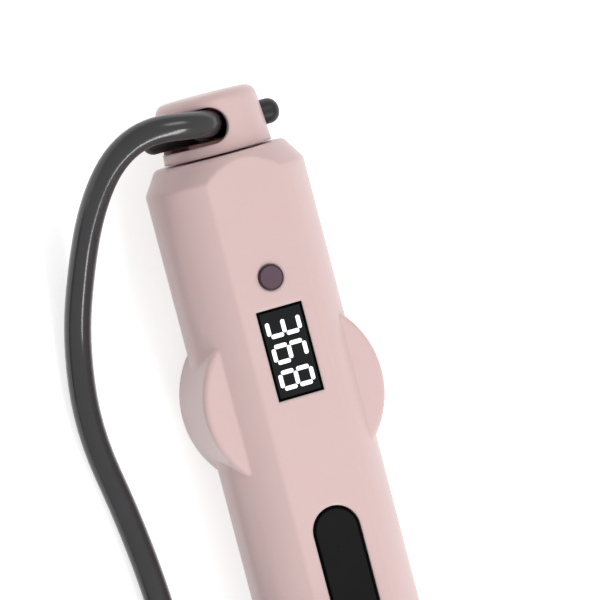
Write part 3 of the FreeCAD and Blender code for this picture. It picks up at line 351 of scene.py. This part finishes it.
ALONG = (0.02, 1, 1)
ROUND = (1, 0.04, 0.04)
EVEN = (1, 1, 1)
finishes["barrel_metal"] = metal("barrel_metal", linear(214, 178, 168), 0.26, ROUND, coat=0.3)
finishes["clamp_metal"] = metal("clamp_metal", linear(216, 184, 175), 0.28, ALONG)
finishes["steel"] = metal("steel", linear(196, 196, 198), 0.32, EVEN)
finishes["nickel"] = metal("nickel", linear(218, 215, 206), 0.2, ALONG)
finishes["brass_contact"] = metal("brass_contact", linear(214, 178, 98), 0.3, ALONG)
finishes["heater_aluminium"] = metal("heater_aluminium", linear(200, 201, 204), 0.42, ALONG)
print("finishes so far", len(finishes))

# %% [markdown]
# ## The pieces nobody sees
# A circuit board is green lacquer over copper tracks, mica splits into flakes, and a heating
# stone is a speckled ceramic. Each takes a pattern of its own kind, since the handle can be opened.

# %% Board, stone and mica


def circuit_board(name):
    finish = Finish(name)
    lines = finish.node("ShaderNodeTexBrick", {"offset": 0.37}, {
        "Vector": finish.place(), "Scale": 160.0, "Mortar Size": 0.06, "Mortar Smooth": 0.2}, "Fac")
    return finish.surface(
        Base_Color=finish.blend(lines, linear(26, 88, 50), linear(70, 138, 84)),
        Roughness=finish.noise(300, 2) * 0.1 + 0.3,
        Normal=finish.relief(lines, 0.00004, 0.6),
    )


def speckled(name, colour, grains, roughness, depth):
    finish = Finish(name)
    grid = {"Vector": finish.place(), "Scale": grains}
    cells = finish.node("ShaderNodeTexVoronoi", None, grid)
    spots = cells * 0.7 + finish.noise(grains / 2, 3) * 0.3
    return finish.surface(
        Base_Color=finish.blend(spots, shade(colour, 0.7), shade(colour, 1.25)),
        Roughness=spots * 0.15 + roughness,
        Normal=finish.relief(spots, depth, 0.5),
    )


finishes["circuit_board"] = circuit_board("circuit_board")
finishes["ceramic_stone"] = speckled("ceramic_stone", linear(158, 154, 150), 1500, 0.7, 0.00003)
finishes["mica"] = speckled("mica", linear(206, 184, 132), 420, 0.35, 0.00005)
finishes["led_module"] = speckled("led_module", linear(232, 232, 226), 2600, 0.5, 0.00001)
print("hidden finishes made, total", len(finishes))

# %% [markdown]
# ## The readout's window, the rocker and the button
# The window is a smoked sheet with a black band along its edge. Inside the band it is painted a
# dark grey that stands for the sky's reflection in the glass, whose own gloss is kept low. The band
# is a sum: how far a point lies from the window's middle along each side, compared with where the
# band starts. The rocker and the button have a rounded rim that falls into the dark of the gap
# round them, and that shade is painted into their colour as a sum as well: how far a point lies
# from a line along the piece's middle.

# %% Window, rocker and button
BLACK = (0.0, 0.0, 0.0)
# The window's own gloss is kept low, because its reflection is painted into the grey inside it.
WINDOW_GLOSS = 0.05
RIM_STEEPNESS = 2.5


def readout_window(name, low, high, border):
    middle, half = (low + high) / 2, (high - low) / 2
    finish = Finish(name)
    spot = finish.node("ShaderNodeTexCoord", out=3)
    along, beside = (finish.node("ShaderNodeSeparateXYZ", None, {0: spot}, axis) for axis in "XY")
    far = abs(along - middle.x) - (half.x - border)
    wide = abs(beside - middle.y) - (half.y - border)
    black_band_mask = far.larger(wide).above(0.0)
    smear = finish.noise(220, 3)
    # Painted reflection: this dark grey inside the band stands for the sky mirrored in the glass.
    inside = finish.blend(smear, linear(33, 36, 36), linear(39, 42, 42))
    return finish.surface(
        Base_Color=finish.blend(black_band_mask, inside, BLACK),
        Roughness=smear * 0.1 + 0.12,
        Specular_IOR_Level=WINDOW_GLOSS,
    )


def painted_rim_shade(name, node, straight, radius, rim, colour, rim_shade_colour, roughness, gloss):
    """A pill or, with no straight part, a round button, with painted shade along its rim."""
    low, high = (Vector(corner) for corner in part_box(node))
    middle = (low + high) / 2
    finish = Finish(name)
    spot = finish.node("ShaderNodeTexCoord", out=3)
    along, beside = (finish.node("ShaderNodeSeparateXYZ", None, {0: spot}, axis) for axis in "XY")
    past = (abs(along - middle.x) - straight / 2).larger(0.0)
    aside = beside - middle.y
    away = (past * past + aside * aside).sum("SQRT")
    # Painted shade: 0 on the face, rising to 1 where the rim turns down into the dark gap.
    turned = ((away - (radius - rim)) * (RIM_STEEPNESS / rim)).larger(0.0).smaller(1.0)
    smear = finish.noise(180, 4)
    tint = finish.blend(smear, shade(colour, 0.93), shade(colour, 1.07))
    return finish.surface(
        Base_Color=finish.blend(turned, tint, rim_shade_colour),
        Roughness=smear * 0.14 + (roughness - 0.07),
        Normal=finish.relief(finish.noise(5000, 2), 0.000004, 0.3),
        Specular_IOR_Level=gloss,
    )


WINDOW_LIP, BLACK_BAND = 0.001, 0.0006
window_low, window_high = (Vector(corner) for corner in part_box("display_window"))
finishes["black_display"] = readout_window(
    "black_display", window_low, window_high, WINDOW_LIP + BLACK_BAND)
# The rim colours of the rocker and the button are painted shade.
finishes["rocker_plastic"] = painted_rim_shade(
    "rocker_plastic", "temperature_rocker", straight=0.0269, radius=0.00555, rim=0.0007,
    colour=linear(32, 32, 32), rim_shade_colour=BLACK, roughness=0.3, gloss=0.05)
finishes["button_plastic"] = painted_rim_shade(
    "button_plastic", "power_button", straight=0.0, radius=0.003, rim=0.0005,
    colour=linear(98, 76, 88), rim_shade_colour=linear(52, 30, 38), roughness=0.45, gloss=0.35)
print("window", [round((b - a) * 1000, 1) for a, b in zip(window_low, window_high)])

# %% [markdown]
# ## Giving each node its finish
# The record names a material slot for every node, so the finishes are handed out by that list. A
# slot without a finish stops the script here, before a render can hide it.

# %% Hand out the finishes
node_slots = {part["node"]: part["material_slot"] for part in frame["record"]["subparts"]}
for name, part in frame["nodes"].items():
    finish = finishes[node_slots[name]]
    if not part.material_slots:
        part.data.materials.append(finish)
    for place in part.material_slots:
        place.material = finish
print("finished nodes", len(node_slots), "of", len(frame["nodes"]))

# %% [markdown]
# ## The spring that closes the clamp
# A torsion spring has one leg on the bracket and one under the lever, and its turns wind up as the
# lever is pressed. Riding whole on one body it would cut into the lever. Here a copy of its mesh,
# with its doubled points merged, takes the place of the solid spring, which is hidden.

# %% The spring's copy
SAME_POINT = 0.000001
solid_spring = frame["nodes"]["clamp_spring"]
spring_mesh = solid_spring.data.copy()
joining = bmesh.new()
joining.from_mesh(spring_mesh)
bmesh.ops.remove_doubles(joining, verts=joining.verts, dist=SAME_POINT)
joining.to_mesh(spring_mesh)
joining.free()
wound_spring = in_scene("wound_spring", spring_mesh)
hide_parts("clamp_spring")
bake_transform(wound_spring)

# %% [markdown]
# ## The lead
# A lead is one length of something springy, so it is one NURBS curve whose control points are
# chosen along its way: out of the slot over the bar, down beside the handle, and along the table
# into a coil that a strap ties. The coil is the part put away for storage, wound in two layers: in
# along the bottom and out again along the top. A NURBS curve cuts inside its points a little, so
# the loop widens the turns by just that much.

# %% The lead's way to the coil and to the plug
CORD_DIAMETER = 0.0064
run_way = [
    at(-7.8, -2.2, 19.2), at(-7.8, -1.9, 25.4), at(-8.4, -6.9, 30.1), at(-10.2, -18.6, 30.0),
    at(-5.9, -27.3, 26.3), at(4.2, -33.2, 18.4), at(17.5, -37.1, 9.3), at(34.0, -41.4, 3.3),
    at(55.0, -44.0, 3.2), at(78.0, -39.9, 3.2), at(101.0, -37.8, 3.5), at(128.0, -37.8, 4.1),
]
plug_way = [
    at(134.0, -124.2, 10.4), at(116.0, -124.2, 8.2), at(99.0, -117.0, 5.4), at(83.0, -108.0, 6.85),
    at(66.0, -108.0, 6.85),
]
print("points before the coil", len(run_way), "and after it", len(plug_way))

# %% The coil's turns
TURNS = 6.5
POINTS_A_TURN = 24
COIL_X, COIL_Y = 142.0, -80.9
OUTER, INNER = 43.3, 22.5
LOW, HIGH = 4.0, 10.4
CLIMB = 0.3


def coil_point(turn):
    """Where the lead is after so many turns: clockwise, in along the bottom, up, and out on top."""
    half = TURNS / 2
    angle = math.pi / 2 - turn * 2 * math.pi
    if turn <= half:
        radius, height = OUTER - (OUTER - INNER) * turn / half, LOW
    else:
        risen = min(1.0, (turn - half) / CLIMB)
        gone = max(0.0, (turn - half - CLIMB) / (half - CLIMB))
        radius = INNER + (OUTER - INNER) * gone
        height = LOW + (HIGH - LOW) * (3 * risen ** 2 - 2 * risen ** 3)
    widened = radius / (1 - (math.pi / POINTS_A_TURN) ** 2 / 2)
    return at(COIL_X + widened * math.cos(angle), COIL_Y + widened * math.sin(angle), height)


turns_way = [coil_point(n / POINTS_A_TURN) for n in range(int(TURNS * POINTS_A_TURN) + 1)]
print("points in the coil", len(turns_way))

# %% [markdown]
# ## The strap round the coil
# The strap is a woven band that closes on itself, with its end lapped over the top. Pulled tight,
# it takes the shape of a string round the turns it holds: it rests on the outermost ones and runs
# straight between them. That shape is found by asking, for each direction round the section, which
# turn lies farthest that way, and standing off from it by half the lead.

# %% The turns under the strap
STRAP_ANGLE = math.radians(-27)
STRAP_WIDTH, STRAP_THICKNESS, EDGE = 9.0, 0.8, 0.25
LAP_STARTS, LAP_ENDS, LAP_RISES, LAP_STEP = 60, 462, 40, 6
LAP_GAP, OFF_TABLE = 0.05, 0.02
LEAD_RADIUS = CORD_DIAMETER * 500
first_pass = (math.pi / 2 - STRAP_ANGLE) / (2 * math.pi)
held = []
for lap in range(int(TURNS - first_pass) + 1):
    place = coil_point(first_pass + lap) - at(COIL_X, COIL_Y, 0)
    held.append((math.hypot(place.x, place.y) * 1000, place.z * 1000))
print("turns under the strap", [(round(out, 1), round(up, 1)) for out, up in held])

# %% The strap
half_width = STRAP_WIDTH / 2
widths = [-half_width + EDGE, -half_width / 2, 0, half_width / 2, half_width - EDGE]
section = [(side, 0) for side in widths]
section += [(half_width, EDGE), (half_width, STRAP_THICKNESS - EDGE)]
section += [(side, STRAP_THICKNESS) for side in reversed(widths)]
section += [(-half_width, STRAP_THICKNESS - EDGE), (-half_width, EDGE)]
strap_points = []
for degrees in range(LAP_STARTS, LAP_ENDS, LAP_STEP):
    way = math.radians(degrees)
    out_share, up_share = math.cos(way), math.sin(way)
    turn_out, turn_up = max(held, key=lambda turn: turn[0] * out_share + turn[1] * up_share)
    lapped = min(1, max(0, (degrees - LAP_STARTS - 360 + LAP_RISES) / LAP_RISES))
    for side, layer in section:
        off = LEAD_RADIUS + layer + (STRAP_THICKNESS + LAP_GAP) * lapped
        out, height = turn_out + off * out_share, max(OFF_TABLE, turn_up + off * up_share)
        angle = STRAP_ANGLE + side / out
        strap_points.append(
            at(COIL_X + out * math.cos(angle), COIL_Y + out * math.sin(angle), height))
count = len(section)
rows = len(strap_points) // count
strap_faces = []
for row in range(rows - 1):
    here, there = row * count, (row + 1) * count
    for n in range(count):
        following = (n + 1) % count
        strap_faces.append((here + n, here + following, there + following, there + n))
strap_faces += [tuple(range(count)), tuple((rows - 1) * count + n for n in range(count))]
strap_mesh = bpy.data.meshes.new("coil_strap")
strap_mesh.from_pydata([tuple(point) for point in strap_points], [], strap_faces)
facing = bmesh.new()
facing.from_mesh(strap_mesh)
bmesh.ops.recalc_face_normals(facing, faces=facing.faces)
for face in facing.faces:
    face.smooth = True
facing.to_mesh(strap_mesh)
facing.free()
strap_mesh.materials.append(finishes["strap_fabric"])
strap = in_scene("coil_strap", strap_mesh)
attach(strap, "swivel")
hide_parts("cord_strap")
print("faces in the strap", len(strap_mesh.polygons))

# %% The lead itself
lead_line = bpy.data.curves.new("mains_lead", "CURVE")
lead_line.dimensions = "3D"
lead_way = run_way + turns_way + plug_way
spline = lead_line.splines.new("NURBS")
spline.points.add(len(lead_way) - 1)
for point, place in zip(spline.points, lead_way):
    point.co = (*place, 1)
spline.order_u = 3
spline.use_endpoint_u = True
spline.resolution_u = 6
lead_line.bevel_depth = CORD_DIAMETER / 2
lead_line.bevel_resolution = 5
lead_line.use_fill_caps = True
lead = in_scene("mains_lead", lead_line)
lead_line.materials.append(finishes["cord_rubber"])
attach(lead, "swivel")
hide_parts("cord_run", "cord_coil", "cord_tail")
print("control points on the lead", len(lead_way))

# %% [markdown]
# ## The readout's figures
# The temperature shows as three seven-segment figures. Each figure is the same bar again and
# again, across or upright, so Geometry Nodes make it: a small mesh holds one point for each lit
# bar with its turn as an attribute, and the tree puts a rounded bar on every point. The result is
# made real and given its finish, because instances would be lost on the way out of Blender.

# %% The tree that sets a bar on every point
BAR_THICKNESS = 0.00004


class Recipe:
    """A Geometry Nodes tree with named inputs."""

    def __init__(self, name, inputs):
        self.tree = bpy.data.node_groups.new(name, "GeometryNodeTree")
        self.tree.interface.new_socket("Geometry", in_out="INPUT", socket_type="NodeSocketGeometry")
        for label, kind, value in inputs:
            socket = self.tree.interface.new_socket(
                label, in_out="INPUT", socket_type=kind)
            if value is not None:
                socket.default_value = value
        self.tree.interface.new_socket(
            "Geometry", in_out="OUTPUT", socket_type="NodeSocketGeometry")
        self.given = self.tree.nodes.new("NodeGroupInput").outputs

    def step(self, kind, settings=None, values=None):
        made = self.tree.nodes.new(kind)
        for key, value in (settings or {}).items():
            setattr(made, key, value)
        for key, value in (values or {}).items():
            if isinstance(value, bpy.types.NodeSocket):
                self.tree.links.new(value, made.inputs[key])
            else:
                made.inputs[key].default_value = value
        return made.outputs[0]

    def result(self, geometry):
        self.tree.links.new(geometry, self.tree.nodes.new("NodeGroupOutput").inputs[0])
        return self.tree


def figure_bars():
    recipe = Recipe("figure_bars", [
        ("Bar length", "NodeSocketFloat", None), ("Bar width", "NodeSocketFloat", None),
        ("Corner", "NodeSocketFloat", None), ("Thickness", "NodeSocketFloat", BAR_THICKNESS),
        ("Finish", "NodeSocketMaterial", None)])
    given = recipe.given
    outline = recipe.step("GeometryNodeCurvePrimitiveQuadrilateral", None, {
        "Width": given["Bar length"], "Height": given["Bar width"]})
    soft = recipe.step("GeometryNodeFilletCurve", {"mode": "POLY"}, {
        "Curve": outline, "Radius": given["Corner"], "Count": 5, "Limit Radius": True})
    sheet = recipe.step("GeometryNodeFillCurve", {"mode": "NGONS"}, {"Curve": soft})
    bar = recipe.step("GeometryNodeExtrudeMesh", None, {
        "Mesh": sheet, "Offset Scale": given["Thickness"]})
    both = recipe.step("GeometryNodeJoinGeometry", None, {0: bar})
    flipped = recipe.step("GeometryNodeFlipFaces", None, {"Mesh": sheet})
    recipe.tree.links.new(flipped, both.node.inputs[0])
    closed = recipe.step("GeometryNodeMergeByDistance", None, {
        "Geometry": both, "Distance": SAME_POINT})
    turn = recipe.step("GeometryNodeInputNamedAttribute", {"data_type": "FLOAT_VECTOR"}, {
        "Name": "turn"})
    placed = recipe.step("GeometryNodeInstanceOnPoints", None, {
        "Points": given["Geometry"], "Instance": closed, "Rotation": turn})
    real = recipe.step("GeometryNodeRealizeInstances", None, {"Geometry": placed})
    return recipe.result(recipe.step("GeometryNodeSetMaterial", None, {
        "Geometry": real, "Material": given["Finish"]}))


bars_tree = figure_bars()
print("inputs", [item.name for item in bars_tree.interface.items_tree if item.in_out == "INPUT"])

# %% [markdown]
# ## Lit figures
# A lit bar is a white light behind a mask, with a faint cloud in its brightness. The figures are
# read with the handle held upright, so they run along the handle and their tops point to its side.

# %% Light of the bars


def lit(name):
    finish = Finish(name)
    glow = finish.noise(900, 2)
    return finish.surface(
        Base_Color=finish.blend(glow, linear(246, 248, 248), linear(254, 254, 254)),
        Roughness=glow * 0.1 + 0.4,
        Emission_Color=finish.blend(glow, linear(240, 244, 246), linear(255, 255, 255)),
        Emission_Strength=0.6,
    )


figure_light = lit("figure_light")
print("light of the figures made")

# %% Points for the lit bars
FIGURE_HEIGHT, FIGURE_WIDTH, FIGURE_PITCH = 8.6, 4.75, 6.15
BAR_WIDTH, BAR_GAP, BAR_CORNER = 1.02, 0.7, 0.45
BARS = {"a": (0, 1, 0), "g": (0, 0, 0), "d": (0, -1, 0), "f": (-1, 0.5, 1), "b": (1, 0.5, 1),
        "e": (-1, -0.5, 1), "c": (1, -0.5, 1)}
LIT = {"3": "abcdg", "6": "acdefg", "8": "abcdefg"}
READING = "368"

window_middle = (window_low + window_high) / 2
reach_x = (FIGURE_WIDTH - BAR_WIDTH) / 2000
reach_y = (FIGURE_HEIGHT - BAR_WIDTH) / 2000
spots, turns = [], []
for place, figure in enumerate(READING):
    middle_x = window_middle.x + (place - (len(READING) - 1) / 2) * FIGURE_PITCH / 1000
    for bar in LIT[figure]:
        side, rise, upright = BARS[bar]
        spots.append(Vector((
            middle_x + side * reach_x, window_middle.y + rise * reach_y, window_high.z)))
        turns.append(upright * math.pi / 2)
print("lit bars", len(spots))

# %% The figures as a piece
points = bpy.data.meshes.new("figure_points")
points.from_pydata([tuple(spot) for spot in spots], [], [])
turned = points.attributes.new("turn", "FLOAT_VECTOR", "POINT")
for item, angle in zip(turned.data, turns):
    item.vector = (0, 0, angle)
figures = in_scene("readout_figures", points)
maker = figures.modifiers.new("bars", "NODES")
maker.node_group = bars_tree
wanted = {"Bar length": reach_y - BAR_GAP / 1000, "Bar width": BAR_WIDTH / 1000,
          "Corner": BAR_CORNER / 1000, "Finish": figure_light}
for item in bars_tree.interface.items_tree:
    if item.in_out == "INPUT" and item.name in wanted:
        maker[item.identifier] = wanted[item.name]
bpy.context.view_layer.update()
shaped = figures.evaluated_get(bpy.context.evaluated_depsgraph_get())
plain = bpy.data.meshes.new_from_object(shaped)
figures.modifiers.clear()
figures.data = plain
plain.materials.clear()
plain.materials.append(figure_light)
for face in plain.polygons:
    face.material_index = 0
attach(figures, "handle")
print("faces in the figures", len(plain.polygons), "materials", [m.name for m in plain.materials])

# %% [markdown]
# ## Table and light
# A pale table fills the picture and keeps the shadow. It looks white to the camera, and to gloss
# that mirrors it, while its light on the pieces stays plain. The sky gives most of the light. A
# long strip beyond the barrel draws the bright line along the lead where it comes down, and a small
# lamp behind the cap catches the rounded edges at the tail. Both stand a little to the right, so
# the handle's other side is darker. Neither lamp is seen itself, from whichever side one looks.

# %% Table


def seen(finish):
    """1 where a ray comes from the camera or from something that mirrors the table."""
    rays = [finish.node("ShaderNodeLightPath", None, None, way)
            for way in ("Is Camera Ray", "Is Glossy Ray", "Is Transmission Ray")]
    return rays[0].larger(rays[1]).larger(rays[2])


TABLE_REACH = 4
TABLE_GLOW = 0.6
table_finish = Finish("table")
table_finish.surface(Base_Color=(0.78, 0.78, 0.78), Roughness=0.9, Specular_IOR_Level=0.0,
                     Emission_Color=(1, 1, 1), Emission_Strength=seen(table_finish) * TABLE_GLOW)
table_mesh = bpy.data.meshes.new("table")
table_corners = [
    (x * TABLE_REACH, y * TABLE_REACH, 0) for x, y in ((-1, -1), (1, -1), (1, 1), (-1, 1))]
table_mesh.from_pydata(table_corners, [], [(0, 1, 2, 3)])
table = in_scene("table", table_mesh)
table_mesh.materials.append(table_finish.material)
print("table across", 2 * TABLE_REACH)

# %% Sky
SKY = 0.61
world = bpy.data.worlds.new("sky")
bpy.context.scene.world = world
world.use_nodes = True
sky = Finish("sky", world.node_tree)
strength = sky.node("ShaderNodeLightPath", None, None, "Is Camera Ray") * (1 - SKY) + SKY
light = sky.node("ShaderNodeBackground", None, {"Color": (1, 1, 1), "Strength": strength})
sky.tree.links.new(light.socket, sky.tree.nodes.new("ShaderNodeOutputWorld").inputs["Surface"])
print("sky", SKY)

# %% Lamps


def set_lamp(name, toward, distance, watts, length, width, along=(1, 0, 0)):
    """An area lamp that shines on the middle of the view, with its length turned one way."""
    light = bpy.data.lights.new(name, "AREA")
    light.shape = "RECTANGLE"
    light.size, light.size_y, light.energy = length, width, watts
    lamp = in_scene(name, light)
    lamp.visible_camera = False
    toward = Vector(toward).normalized()
    side = Vector(along)
    side = (side - toward * side.dot(toward)).normalized()
    turned = Matrix((side, toward.cross(side), toward)).transposed().to_4x4()
    lamp.matrix_world = Matrix.Translation(LOOK_AT + toward * distance) @ turned


set_lamp("strip_lamp", (0.73, 0.13, 0.67), distance=1.0, watts=4.6, length=0.8, width=0.13,
         along=(0.5, -0.35, -0.49))
set_lamp("cap_lamp", (-0.49, 0.3, 0.82), distance=1.0, watts=1.2, length=0.32, width=0.32)
bpy.context.scene.view_settings.view_transform = "Standard"
